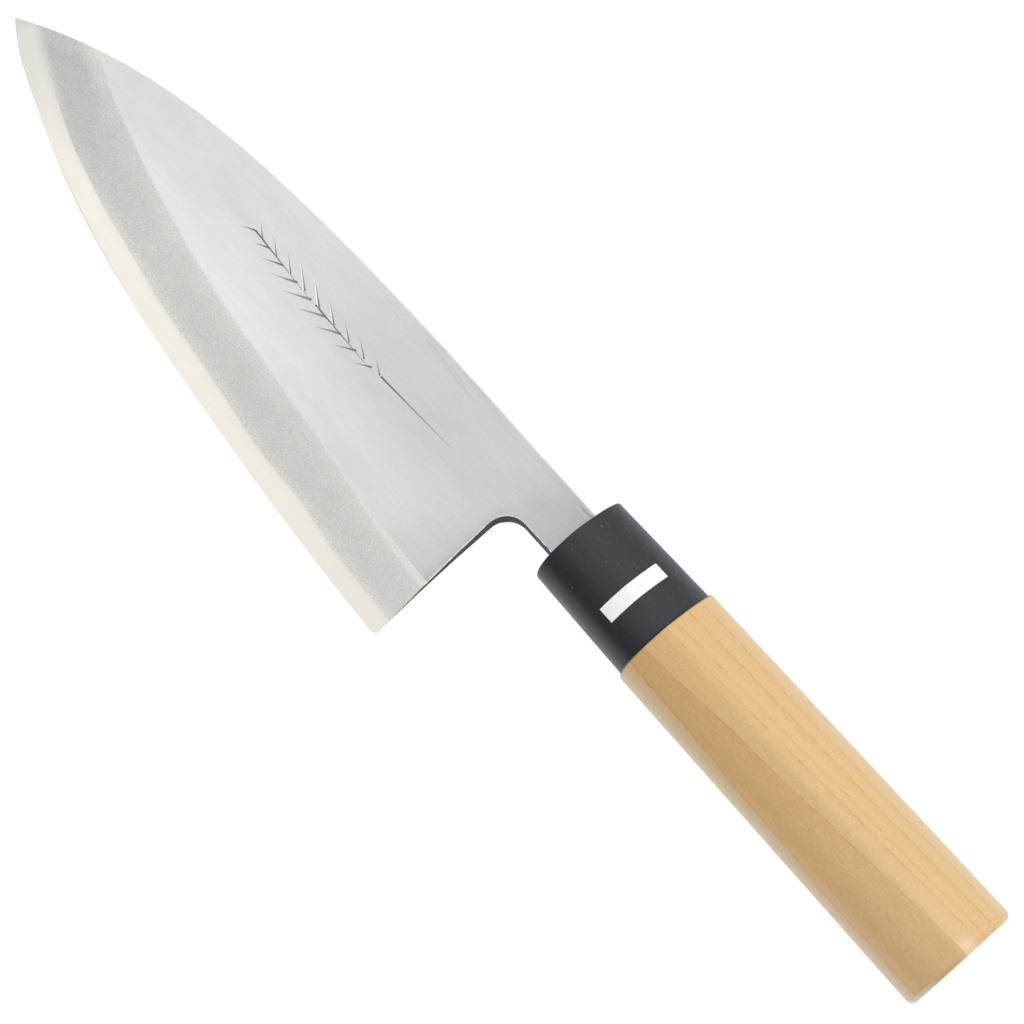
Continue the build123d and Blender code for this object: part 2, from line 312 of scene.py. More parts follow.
iron = {
    # brushed flat: its tone at the neck, and what is added past the choil and towards the tip, and a
    # painted reflection that makes it brighter towards the crest
    "flatTint": (1.0, 1.0, 0.975, 1), "flatNeck": 0.51,
    "pastChoil": 0.135, "pastChoilRun": (0, 24),
    "flatTip": 0.115, "flatTipRun": (40, 110),
    "crestLightPainted": 0.10, "flatCrestRun": (14, 40), "flatCrestRise": (6, 24),
    # painted shade: the flat is darker beside the choil's edge
    "paintedChoilShade": -0.07, "byChoilRun": (18.5, 15.5), "byChoilRise": (7, 12),
    # painted shade: darker where the surface turns towards the spine
    "paintedSpineShade": -0.25, "easedSpineFacing": (-0.25, -0.6),
    "hairs": {"Length": 70.0, "Width": 0.15}, "hairline": 0.055, "hairBand": 0.011,
    "mottle": ((16, 5, 5), 3, 0.55, 0.3, 0.7), "mottled": 0.03,
    "grain": 0.32, "grained": 0.03,
    "nickStretch": (2.4, 1, 1), "nicks": {"Spacing": 3.4, "Radius": 0.09, "Share": 0.14}, "nicked": -0.09,
    # streaks of the forge's scale by the ferrule, and longer, fainter ones beside the spine
    "forgeScale": ((6, 0.35, 0.35), 2, 0.6, 0.50, 0.66), "scaled": -0.22,
    "scaleRun": (8, 1), "scaleRise": (0, -4),
    "spineStreaks": ((28, 0.4, 0.4), 2, 0.6, 0.48, 0.66), "streaked": -0.06,
    "streakRun": (90, 50), "streakRise": (-1.5, -4.0),
    # blasted band: paler along both its borders and at the heel, darker at the tip
    "bandTint": (1.0, 0.995, 0.955, 1), "band": 0.715,
    "bandCrest": 0.06, "bandCrestDepth": (-6.5, 0.3),
    "bandTip": -0.11, "bandTipShare": (0.55, 1.0),
    "bandHeel": 0.03, "bandHeelShare": (0.35, 0.05),
    "bandWeld": 0.07, "bandWeldDepth": (3.2, 0.2), "bandWeldShare": (0.85, 0.6, 0.45, 1.0),
    # paler wedges near the tip, one under the spine and one under the crest. There the spine is in from
    # the edge by its reach, times the share of the blade that is left to the tip.
    "spineReach": 175, "spineWedge": 0.05, "spineWedgeDepth": (5, 0.5), "spineWedgeShare": (0.83, 0.89),
    "crestWedge": 0.07, "crestWedgeDepth": (-5, -1.5), "crestWedgeShare": (0.80, 0.88),
    # a bright strip inside the crest, that narrows from the heel on
    "strip": 0.065, "stripRun": (62, 18, 0.0, 1.9), "stripDepth": (-0.25, 0.25), "stripShown": (0.1, 0.6),
    # its grain, which is stronger by the weld
    "speckle": 0.15, "speckleAll": 0.8, "speckleWeld": 0.6, "cloud": 0.025, "spark": 0.12,
    # the steel's colour strays over the weld, more so near the tip
    "weldTint": (0.95, 0.92, 0.84, 1), "atWeld": 0.55, "atWeldDepth": (0.65, 0.1), "atWeldGrain": 0.5,
    "blurred": 0.5, "blurredDepth": (2.2, -0.4), "blurredShare": (0.80, 0.92),
    # the crest is soft and a little ragged where one finish ends and the other begins
    "bandFacing": (0.55, 0.75), "softRun": (25, 80, 0.12, 1.3), "softTipRun": (105, 150, 1.0, 0.35),
    "ragged": 0.45, "raggedLeast": 0.1, "crestSpan": (0.6, -0.6),  # in shares of the softness there
    # chiselled strokes lie under the flat, which is this high at the neck's spine, so far out from the
    # axis, and from there loses so much of its height to the tip, and so much down to the heel
    "flatHeight": 3.7, "spineOut": 6.8, "tipThinning": 4.8, "heelThinning": 4.6,
    "groove": (0.60, 0.59, 0.57, 1), "grooveTop": (-0.02, -0.09),
    "grooveDeep": (0.36, 0.335, 0.31, 1), "grooveFloor": (-0.10, -0.24),
    "grooveRun": (28, 32), "grooveEndRun": (118, 112), "grooveRise": (1, 3),
    "grooveDepth": (1.5, 2.0), "grooveUp": (-2.5, -1.5),
    # forge-black wall of the choil and neck, under an eased edge with a painted highlight that is broken
    # into dots
    "choilRun": (30, 27), "choilRise": (-2, 0),
    "rimShine": (1.0, 1.0, 0.99, 1), "rimFacing": (0.985, 0.94), "rimLowFacing": (0.28, 0.42),
    "rimWear": ((0.9, 0.9, 0.9), 2, 0.6, 0.34, 0.54),
    "wallFacing": (0.40, 0.25), "wallLowFacing": (-0.6, -0.4),
    "forged": (0.006, 0.0055, 0.0055, 1), "forgedPale": (0.032, 0.030, 0.029, 1), "forgedGloss": 0.12,
    "rust": (0.14, 0.055, 0.03, 1), "rusty": ((3.2, 3.2, 1.2), 2, 0.6, 0.57, 0.66),
    "brushedRough": 0.36, "blastedRough": 0.62, "forgedRough": 0.2,
    "blastedRelief": 2.0, "hairRelief": 0.5, "reliefDepth": 0.000004,
}


def flatTone(tree, spot, lines, grain):
    along = spot["Along"]
    tone = raised(tree, iron["flatNeck"], smooth(tree, along, *iron["pastChoilRun"]), iron["pastChoil"])
    tone = raised(tree, tone, smooth(tree, along, *iron["flatTipRun"]), iron["flatTip"])
    # painted reflection: the flat is brighter towards the crest
    paintedCrestLight = within(tree, spot, iron["flatCrestRun"], iron["flatCrestRise"])
    tone = raised(tree, tone, paintedCrestLight, iron["crestLightPainted"])
    tone = swung(tree, tone, lines["Lines"], iron["hairline"])
    tone = swung(tree, tone, lines["Bands"], iron["hairBand"])
    tone = swung(tree, tone, patches(tree, spot["Place"], *iron["mottle"]), iron["mottled"])
    tone = swung(tree, tone, grain["Grain"], iron["grained"])
    # painted shade: the flat is darker beside the choil's edge
    paintedChoilShade = within(tree, spot, iron["byChoilRun"], iron["byChoilRise"])
    tone = raised(tree, tone, paintedChoilShade, iron["paintedChoilShade"])
    nicks = place(tree, marks, Place=stretched(tree, spot["Place"], iron["nickStretch"]), **iron["nicks"])
    tone = raised(tree, tone, nicks["Marks"], iron["nicked"])
    # painted shade: darker where the surface turns towards the spine
    paintedSpineShade = smooth(tree, spot["FacingEdge"], *iron["easedSpineFacing"])
    tone = raised(tree, tone, paintedSpineShade, iron["paintedSpineShade"])
    scale = product(tree, patches(tree, spot["Place"], *iron["forgeScale"]),
                    within(tree, spot, iron["scaleRun"], iron["scaleRise"]))
    tone = raised(tree, tone, scale, iron["scaled"])
    streaks = product(tree, patches(tree, spot["Place"], *iron["spineStreaks"]),
                      within(tree, spot, iron["streakRun"], iron["streakRise"]))
    return raised(tree, tone, streaks, iron["streaked"])


def bandTone(tree, spot, bevel, grain):
    pastCrest, toTip = bevel["PastCrest"], bevel["ToTip"]
    tone = raised(tree, iron["band"], smooth(tree, pastCrest, *iron["bandCrestDepth"]), iron["bandCrest"])
    tone = raised(tree, tone, smooth(tree, toTip, *iron["bandTipShare"]), iron["bandTip"])
    tone = raised(tree, tone, smooth(tree, toTip, *iron["bandHeelShare"]), iron["bandHeel"])
    nearWeld = product(tree, smooth(tree, bevel["PastWeld"], *iron["bandWeldDepth"]),
                       smooth(tree, toTip, *iron["bandWeldShare"]))
    tone = raised(tree, tone, nearWeld, iron["bandWeld"])
    fromSpine = sums(tree, "SUBTRACT", raised(tree, iron["spineReach"], toTip, -iron["spineReach"]),
                     bevel["FromEdge"])
    spineWedge = product(tree, smooth(tree, fromSpine, *iron["spineWedgeDepth"]),
                         smooth(tree, toTip, *iron["spineWedgeShare"]))
    tone = raised(tree, tone, spineWedge, iron["spineWedge"])
    crestWedge = product(tree, smooth(tree, pastCrest, *iron["crestWedgeDepth"]),
                         smooth(tree, toTip, *iron["crestWedgeShare"]))
    tone = raised(tree, tone, crestWedge, iron["crestWedge"])
    stripWidth = smooth(tree, spot["Along"], *iron["stripRun"])
    inStrip = product(tree, smooth(tree, sums(tree, "ADD", pastCrest, stripWidth), *iron["stripDepth"]),
                      smooth(tree, stripWidth, *iron["stripShown"]))
    tone = raised(tree, tone, inStrip, iron["strip"])
    speckle = product(tree, centred(tree, grain["Grain"]),
                      raised(tree, iron["speckleAll"], nearWeld, iron["speckleWeld"]))
    tone = raised(tree, tone, speckle, iron["speckle"])
    tone = swung(tree, tone, grain["Clouds"], iron["cloud"])
    return raised(tree, tone, grain["Specks"], iron["spark"])


def weldMask(tree, bevel, grain):
    fromWeld = raised(tree, bevel["PastWeld"], grain["Grain"], iron["atWeldGrain"])
    atWeld = product(tree, smooth(tree, fromWeld, *iron["atWeldDepth"]), iron["atWeld"])
    blurred = product(tree, smooth(tree, bevel["PastWeld"], *iron["blurredDepth"]),
                      smooth(tree, bevel["ToTip"], *iron["blurredShare"]), iron["blurred"])
    return sums(tree, "MAXIMUM", atWeld, blurred)


def blastedMask(tree, spot, bevel, grain):
    softness = between(tree, spot["Along"], iron["softRun"], iron["softTipRun"])
    ragged = product(tree, centred(tree, grain["Grain"]),
                     sums(tree, "ADD", softness, iron["raggedLeast"]))
    border = raised(tree, bevel["PastCrest"], ragged, iron["ragged"])
    blasted = smooth(tree, sums(tree, "DIVIDE", border, softness), *iron["crestSpan"])
    return product(tree, blasted, smooth(tree, spot["FacingUp"], *iron["bandFacing"]))


def withGrooves(tree, spot, bevel, colour):
    tipSlope = iron["tipThinning"] / edgeLine["tip"][0]
    heelSlope = iron["heelThinning"] / (edgeLine["heel"][1] + iron["spineOut"])
    flatHeight = iron["flatHeight"] - iron["spineOut"] * heelSlope
    height = sums(tree, "SUBTRACT", dot(tree, spot["Place"], (tipSlope, heelSlope, 1.0)), flatHeight)
    onFlat = product(tree, smooth(tree, bevel["PastCrest"], *iron["grooveDepth"]),
                     smooth(tree, spot["Up"], *iron["grooveUp"]),
                     between(tree, spot["Along"], iron["grooveRun"], iron["grooveEndRun"]),
                     smooth(tree, spot["Across"], *iron["grooveRise"]))
    grooved = tint(tree, smooth(tree, height, *iron["grooveFloor"]), iron["groove"], iron["grooveDeep"])
    return tint(tree, product(tree, smooth(tree, height, *iron["grooveTop"]), onFlat), colour, grooved)


def finishIron():
    material, tree, surface = newMaterial("softIron")
    spot = place(tree, knifePlace)
    bevel = place(tree, bevelPlace, Place=spot["Place"])
    lines = place(tree, hairlines, Place=spot["Place"], **iron["hairs"])
    grain = place(tree, grit, Place=spot["Place"], Size=iron["grain"])
    flat = tint(tree, flatTone(tree, spot, lines, grain), black, iron["flatTint"])
    band = tint(tree, bandTone(tree, spot, bevel, grain), black, iron["bandTint"])
    band = tint(tree, weldMask(tree, bevel, grain), band, iron["weldTint"])
    blasted = blastedMask(tree, spot, bevel, grain)
    colour = withGrooves(tree, spot, bevel, tint(tree, blasted, flat, band))
    choilSide = within(tree, spot, iron["choilRun"], iron["choilRise"])
    # painted highlight along the choil's eased edge, broken into dots
    rim = product(tree, between(tree, spot["FacingUp"], iron["rimFacing"], iron["rimLowFacing"]),
                  patches(tree, spot["Place"], *iron["rimWear"]), choilSide)
    colour = tint(tree, rim, colour, iron["rimShine"])
    wall = product(tree, between(tree, spot["FacingUp"], iron["wallFacing"], iron["wallLowFacing"]),
                   choilSide)
    forged = tint(tree, grain["Grain"], iron["forged"], iron["forgedPale"])
    forged = tint(tree, patches(tree, spot["Place"], *iron["rusty"]), forged, iron["rust"])
    colour = tint(tree, wall, colour, forged)
    rough = raised(tree, iron["brushedRough"], blasted, iron["blastedRough"] - iron["brushedRough"])
    rough = raised(tree, rough, wall, iron["forgedRough"])
    relief = raised(tree, product(tree, lines["Lines"], iron["hairRelief"]),
                    product(tree, grain["Grain"], blasted), iron["blastedRelief"])
    dress(tree, surface, colour, rough, relief, iron["reliefDepth"])
    tree.links.new(sums(tree, "SUBTRACT", 1.0, wall), surface.inputs["Metallic"])
    surface.inputs["Specular IOR Level"].default_value = iron["forgedGloss"]
    return material


# Blade: hard steel

steel = {
    "tint": (1.0, 0.96, 0.87, 1), "tone": 0.985,
    "byWeld": -0.03, "byWeldDepth": (-2.5, 0.0), "tip": -0.09, "tipShare": (0.70, 0.95),
    "hairs": {"Length": 200.0, "Width": 0.16}, "hairline": 0.04, "grain": 0.42, "cloud": 0.02,
    # the point is blasted grey like the iron, some grey strays over the weld, and the tip is greyer
    "grey": (0.73, 0.725, 0.70, 1), "pointShare": (0.965, 0.99), "pointCloud": 0.008,
    "strayed": 0.4, "strayedDepth": (-0.15, 0.3), "strayedGrain": 0.4,
    "tipGrey": 0.35, "tipGreyShare": (0.78, 0.96),
    "blurred": 0.35, "blurredDepth": (-1.6, 0.2), "blurredShare": (0.80, 0.92),
    "honed": 0.5, "honedDepth": (0.5, 0.15), "honedShare": (0.35, 0.7),
    "rough": 0.34, "roughCloud": 0.08, "reliefDepth": 0.000002,
}


def finishSteel():
    material, tree, surface = newMaterial("hardSteel")
    spot = place(tree, knifePlace)
    bevel = place(tree, bevelPlace, Place=spot["Place"])
    pastWeld, toTip = bevel["PastWeld"], bevel["ToTip"]
    lines = place(tree, hairlines, Place=spot["Place"], **steel["hairs"])
    grain = place(tree, grit, Place=spot["Place"], Size=steel["grain"])
    tone = raised(tree, steel["tone"], smooth(tree, pastWeld, *steel["byWeldDepth"]), steel["byWeld"])
    tone = raised(tree, tone, smooth(tree, toTip, *steel["tipShare"]), steel["tip"])
    tone = swung(tree, tone, lines["Lines"], steel["hairline"])
    tone = swung(tree, tone, grain["Clouds"], steel["cloud"])
    wavering = raised(tree, toTip, grain["Clouds"], steel["pointCloud"])
    pointed = smooth(tree, wavering, *steel["pointShare"])
    fromWeld = raised(tree, pastWeld, grain["Grain"], steel["strayedGrain"])
    strayed = product(tree, smooth(tree, fromWeld, *steel["strayedDepth"]), steel["strayed"])
    blurred = product(tree, smooth(tree, pastWeld, *steel["blurredDepth"]),
                      smooth(tree, toTip, *steel["blurredShare"]))
    honed = product(tree, smooth(tree, bevel["FromEdge"], *steel["honedDepth"]),
                    smooth(tree, toTip, *steel["honedShare"]))
    greying = product(tree, smooth(tree, toTip, *steel["tipGreyShare"]), steel["tipGrey"])
    greying = raised(tree, greying, blurred, steel["blurred"])
    greying = raised(tree, greying, honed, steel["honed"])
    grey = sums(tree, "MAXIMUM", sums(tree, "MAXIMUM", pointed, strayed), greying)
    colour = tint(tree, grey, tint(tree, tone, black, steel["tint"]), steel["grey"])
    rough = raised(tree, steel["rough"], grain["Clouds"], steel["roughCloud"])
    dress(tree, surface, colour, rough, lines["Lines"], steel["reliefDepth"])
    surface.inputs["Metallic"].default_value = 1.0
    return material


# Ferrule: black moulded plastic

ferrule = {
    "base": (0.0080, 0.0090, 0.0155, 1), "dustAndSheen": (0.050, 0.055, 0.068, 1),
    "scuffed": (0.17, 0.175, 0.19, 1),
    "grain": 0.6, "cloud": 0.12, "speckRise": (4, -6, 0.35, 0.8),
    # painted sheen: paler beside the ridge and on the spine side
    "paintedSheen": 0.30, "ridgeRise": (0.3, 1.3), "besideRise": (7.5, 4.0),
    "spineSheen": 0.7, "spineRise": (-8.5, -11.5),
    # scuffs show where the wear is strong, and dust where it is weak
    "wear": ((6, 4, 4), 1, 0.5),
    "scuffWear": (0.40, 0.65, 0.15, 0.75), "dustWear": (0.65, 0.40, 0.1, 0.5),
    "scuffStretch": (3.0, 1.0, 1.0), "scuffs": {"Spacing": 1.15, "Radius": 0.16, "Share": 0.35},
    "dust": {"Spacing": 0.85, "Radius": 0.11, "Share": 0.35},
    "rough": 0.36, "roughCloud": 0.10, "gloss": 0.43, "reliefDepth": 0.000006,
}


def finishFerrule():
    material, tree, surface = newMaterial("ferrulePlastic")
    spot = place(tree, knifePlace)
    across = spot["Across"]
    grain = place(tree, grit, Place=spot["Place"], Size=ferrule["grain"])
    scuffPlace = stretched(tree, spot["Place"], ferrule["scuffStretch"])
    scuffs = place(tree, marks, Place=scuffPlace, **ferrule["scuffs"])
    dust = place(tree, marks, Place=spot["Place"], **ferrule["dust"])
    clouds = product(tree, grain["Clouds"], ferrule["cloud"])
    colour = tint(tree, clouds, ferrule["base"], ferrule["dustAndSheen"])
    specks = product(tree, grain["Specks"], smooth(tree, across, *ferrule["speckRise"]))
    colour = tint(tree, specks, colour, ferrule["dustAndSheen"])
    # painted sheen beside the ridge and on the spine side
    paintedSheen = between(tree, across, ferrule["ridgeRise"], ferrule["besideRise"])
    paintedSheen = raised(tree, paintedSheen, smooth(tree, across, *ferrule["spineRise"]), ferrule["spineSheen"])
    colour = tint(tree, product(tree, paintedSheen, ferrule["paintedSheen"]), colour, ferrule["dustAndSheen"])
    wear = waves(tree, spot["Place"], *ferrule["wear"])
    shown = sums(tree, "MAXIMUM",
                 product(tree, scuffs["Marks"], smooth(tree, wear, *ferrule["scuffWear"])),
                 product(tree, dust["Marks"], smooth(tree, wear, *ferrule["dustWear"])))
    colour = tint(tree, shown, colour, ferrule["scuffed"])
    rough = raised(tree, ferrule["rough"], grain["Clouds"], ferrule["roughCloud"])
    dress(tree, surface, colour, rough, grain["Grain"], ferrule["reliefDepth"])
    surface.inputs["Specular IOR Level"].default_value = ferrule["gloss"]
    return material


# Handle: pale close-grained wood, oiled

wood = {  # a Run is measured back from the shoulder here, unless its numbers are below zero
    "pale": (0.750, 0.481, 0.208, 1), "late": (0.690, 0.400, 0.135, 1), "ashy": (0.690, 0.460, 0.215, 1),
    "brown": (0.620, 0.370, 0.155, 1), "line": (0.560, 0.260, 0.060, 1), "silk": (0.88, 0.66, 0.38, 1),
    "yellow": (0.740, 0.475, 0.165, 1), "olive": (0.635, 0.455, 0.235, 1),
    # growth layers are sheets that lean through the handle, so the lines go on round its sides and back.
    # They are told by their place across the surface, which falls away from the ridge by a power, and
    # they wander by three noises, each over so many millimetres.
    "shoulder": -31.0, "ridgeHeight": 12.3, "ridgeFall": 0.0118, "ridgePower": 2.6, "sheetLean": 0.35,
    "wander": [(((26, 6, 6), 2, 0.5), 1.1), (((2.6, 0.9, 0.9), 2, 0.6), 0.55),
               (((0.9, 0.5, 0.5), 1, 0.5), 0.40)],
    # a darker tongue of late wood runs down the edge side: where its two borders start, and their slopes
    "tongueTop": 7.2, "tongueTopSlope": -0.0753, "tongueTopFade": (0.05, -0.05),
    "tongueLow": 12.35, "tongueLowSlope": 0.043, "tongueLowFade": (-0.08, 0.08), "tongueLowMost": 15.4,
    # growth lines fan out from the tongue to the spine side, this far from the ridge: where the layers
    # end, in shares of the fan, and the share of the count that they reach there
    "fanWidth": 15.0, "growthCount": 5.0,
    "growthLines": [(0, 0), (0.32, 0.2), (0.45, 0.4), (0.645, 0.6), (0.79, 0.8), (0.92, 1)],
    # late wood darkens each layer towards its end, by chance more or less
    "lateSpan": (0.35, 1.0), "lateLeast": 0.30, "lateChance": 0.35,
    # the wood is ashy beside the tongue and in clouds
    "ashyFan": (0.36, 0.24), "ashyUnder": 0.65,
    "clouds": ((22, 4.5, 4.5), 2, 0.5, 0.40, 0.68), "clouded": 0.40,
    # the tongue is brown, most so under its upper border, and turns olive towards the butt
    "brownTop": 0.50, "brownTopFade": (-5.0, 0.0), "brownAll": 0.45, "brownRun": (20, 90, 1.0, 0.30),
    "oliveAll": 0.5, "oliveRun": (45, 85),
    # lines: how strong, where in each layer, along the tongue's borders, and where they break off
    "drawn": 0.60, "lineSpan": (0.84, 0.95), "lineEndSpan": (1.0, 0.985),
    "topLineFade": (-0.35, -0.02), "lowLineFade": (0.8, 0.2), "borderLeast": 0.55, "borderBroken": 0.45,
    "broken": ((2.4, 0.9, 0.9), 3, 0.65, 0.42, 0.60),
    # fibres follow the sheets and lean a little in the tongue; each texture is stronger or weaker there
    "fibreLean": 0.05,
    "dashes": ((1.6, 0.24, 0.24), 1, 0.5, 0.58, 0.70), "dashed": 0.30, "dashLeast": 0.2, "dashLate": 0.8,
    "fibres": ((4.5, 0.24, 0.24), 3, 0.65), "fibreSpan": (0.35, 0.72),
    "fibreShade": 0.20, "fibreTongue": 0.12,
    "flecks": ((1.2, 0.18, 0.18), 2, 0.6, 0.48, 0.68), "flecked": 0.36, "fleckTongue": -0.08,
    "yellowed": ((2.6, 0.4, 0.4), 2, 0.6, 0.46, 0.66), "yellowing": 0.35,
    "pores": ((0.6, 0.18, 0.18), 1, 0.5, 0.58, 0.74), "poreShade": 0.32, "poreTongue": 0.08,
    # the turning tool left a row of short cross marks by the shoulder, on the spine side
    "chatter": ((0.38, 1.6, 1.6), 1, 0.5, 0.50, 0.66), "chattered": 0.45, "chatterRun": (70, 10),
    "chatterRise": (-11.6, -11.0), "chatterEndRise": (-9.6, -10.2),
    "goldenRun": (60, 0, 0.0, 0.20),  # a golden cast by the shoulder
    # painted sheen: paler along both sides, and a painted highlight on the ridge near the butt
    "rim": (0.57, 0.45, 0.26, 1), "belowTongue": (0.15, -0.15),
    "edgeFacing": (0.70, 0.98, 0.0, 0.9), "spineFacing": (-0.45, -0.85, 0.0, 0.5),
    "paintedSheen": (0.86, 0.57, 0.33, 1), "ridgeSheen": 0.28,
    "ridgeRun": (-98, -126), "ridgeRise": (-6, -1.5), "ridgeEndRise": (0.3, -0.2),
    "ridgeHighlight": (0.97, 0.77, 0.54, 1), "ridgeHighlightShare": 0.45,
    "polishRun": (-123.5, -127.5), "polishRise": (-5.5, -1.5), "polishEndRise": (0.2, -0.3),
    # painted shade: browner where the edge side rounds over to the butt; paler end grain on the butt, and
    # a painted sheen that makes its corner paler
    "paintedRoundShade": (0.43, 0.27, 0.10, 1), "rounding": 0.4,
    "roundedFacing": (-0.3, -0.7), "roundedRise": (0, 3),
    "endGrain": (0.66, 0.55, 0.40, 1), "butt": 0.6, "buttFacing": (-0.85, -0.97),
    "paintedCornerSheen": (0.66, 0.60, 0.44, 1), "cornerSheenShare": 0.65, "wornFacing": (-0.15, -0.45), "wornRise": (7.5, 10.5),
    # painted shadow in the joint with the ferrule: a black line, with a browner band beside it
    "jointShadow": (0.012, 0.008, 0.006, 1), "jointPlace": -30.2,
    "jointFade": (0.55, 0.42), "jointShade": (0.95, 0.50, 0.0, 0.5),
    "roughness": 0.35, "roughFibre": 0.14, "coat": 0.25, "coatRoughness": 0.25,
    "reliefDepth": 0.00002, "relief": 0.6,
}


def growth(tree, spot):  # where each point lies among the growth layers
    curvedDown = sums(tree, "POWER", sums(tree, "ABSOLUTE", spot["Across"]), wood["ridgePower"])
    surfaceHeight = raised(tree, wood["ridgeHeight"], curvedDown, -wood["ridgeFall"])
    sunk = sums(tree, "SUBTRACT", spot["Up"], surfaceHeight)
    across = raised(tree, spot["Across"], sunk, wood["sheetLean"])
    for shape, width in wood["wander"]:
        across = swung(tree, across, waves(tree, spot["Place"], *shape), width)
    fromShoulder = sums(tree, "SUBTRACT", wood["shoulder"], spot["Along"])
    tongueTop = raised(tree, wood["tongueTop"], fromShoulder, wood["tongueTopSlope"])
    tongueLow = raised(tree, wood["tongueLow"], fromShoulder, wood["tongueLowSlope"])
    tongueLow = sums(tree, "MINIMUM", tongueLow, wood["tongueLowMost"])
    overTop = sums(tree, "SUBTRACT", tongueTop, across)
    overLow = sums(tree, "SUBTRACT", tongueLow, across)
    tongue = product(tree, smooth(tree, overTop, *wood["tongueTopFade"]),
                     smooth(tree, overLow, *wood["tongueLowFade"]))
    fan = sums(tree, "DIVIDE", overTop, sums(tree, "ADD", tongueTop, wood["fanWidth"]))
    count = product(tree, curveThrough(tree, fan, wood["growthLines"]), wood["growthCount"])
    leaning = product(tree, spot["Along"], tongue, wood["fibreLean"])
    fibrePlace = put(tree, "ShaderNodeCombineXYZ", {
        0: spot["Along"], 1: sums(tree, "ADD", across, leaning), 2: spot["Up"]}).outputs[0]
    return {
        "fromShoulder": fromShoulder, "overTop": overTop, "overLow": overLow, "fan": fan, "count": count,
        "inLayer": sums(tree, "FRACT", count), "fibrePlace": fibrePlace,
        "tongue": tongue, "notTongue": sums(tree, "SUBTRACT", 1.0, tongue),
    }


def layeredWood(tree, spot, layers):  # the colours of the growth layers and the lines between them
    tongue, notTongue, inLayer = layers["tongue"], layers["notTongue"], layers["inLayer"]
    fromShoulder, overTop = layers["fromShoulder"], layers["overTop"]
    chance = put(tree, "ShaderNodeTexWhiteNoise", {"W": sums(tree, "FLOOR", layers["count"])},
                 noise_dimensions="1D").outputs["Value"]
    late = product(tree, smooth(tree, inLayer, *wood["lateSpan"]), notTongue)
    lateShare = product(tree, late, raised(tree, wood["lateLeast"], chance, wood["lateChance"]))
    colour = tint(tree, lateShare, wood["pale"], wood["late"])
    ashy = product(tree, smooth(tree, layers["fan"], *wood["ashyFan"]), notTongue, wood["ashyUnder"])
    colour = tint(tree, ashy, colour, wood["ashy"])
    clouds = product(tree, patches(tree, spot["Place"], *wood["clouds"]), wood["clouded"])
    colour = tint(tree, clouds, colour, wood["ashy"])
    underTop = product(tree, smooth(tree, overTop, *wood["brownTopFade"]), tongue)
    browned = raised(tree, product(tree, tongue, wood["brownAll"]), underTop, wood["brownTop"])
    browned = product(tree, browned, smooth(tree, fromShoulder, *wood["brownRun"]))
    colour = tint(tree, browned, colour, wood["brown"])
    olive = product(tree, smooth(tree, fromShoulder, *wood["oliveRun"]), tongue, wood["oliveAll"])
    colour = tint(tree, olive, colour, wood["olive"])
    broken = patches(tree, spot["Place"], *wood["broken"])
    lines = product(tree, between(tree, inLayer, wood["lineSpan"], wood["lineEndSpan"]),
                    notTongue, broken)
    borders = sums(tree, "MAXIMUM", smooth(tree, overTop, *wood["topLineFade"]),
                   smooth(tree, layers["overLow"], *wood["lowLineFade"]))
    borderShare = raised(tree, wood["borderLeast"], broken, wood["borderBroken"])
    borders = product(tree, borders, tongue, borderShare)
    drawn = product(tree, sums(tree, "MAXIMUM", lines, borders), wood["drawn"])
    colour = tint(tree, drawn, colour, wood["line"])
    dashes = product(tree, patches(tree, layers["fibrePlace"], *wood["dashes"]),
                     raised(tree, wood["dashLeast"], late, wood["dashLate"]), wood["dashed"])
    return tint(tree, dashes, colour, wood["line"])


def fibredWood(tree, layers, fibres, colour):
    tongue, fibrePlace = layers["tongue"], layers["fibrePlace"]
    fibreShare = raised(tree, wood["fibreShade"], tongue, wood["fibreTongue"])
    fibreMask = product(tree, smooth(tree, fibres, *wood["fibreSpan"]), fibreShare)
    colour = tint(tree, fibreMask, colour, wood["line"])
    fleckShare = raised(tree, wood["flecked"], tongue, wood["fleckTongue"])
    flecks = product(tree, patches(tree, fibrePlace, *wood["flecks"]), fleckShare)
    colour = tint(tree, flecks, colour, wood["silk"])
    yellowed = product(tree, patches(tree, fibrePlace, *wood["yellowed"]), wood["yellowing"])
    colour = tint(tree, yellowed, colour, wood["yellow"])
    poreShare = raised(tree, wood["poreShade"], tongue, wood["poreTongue"])
    pores = product(tree, patches(tree, fibrePlace, *wood["pores"]), poreShare)
    return tint(tree, pores, colour, wood["line"])


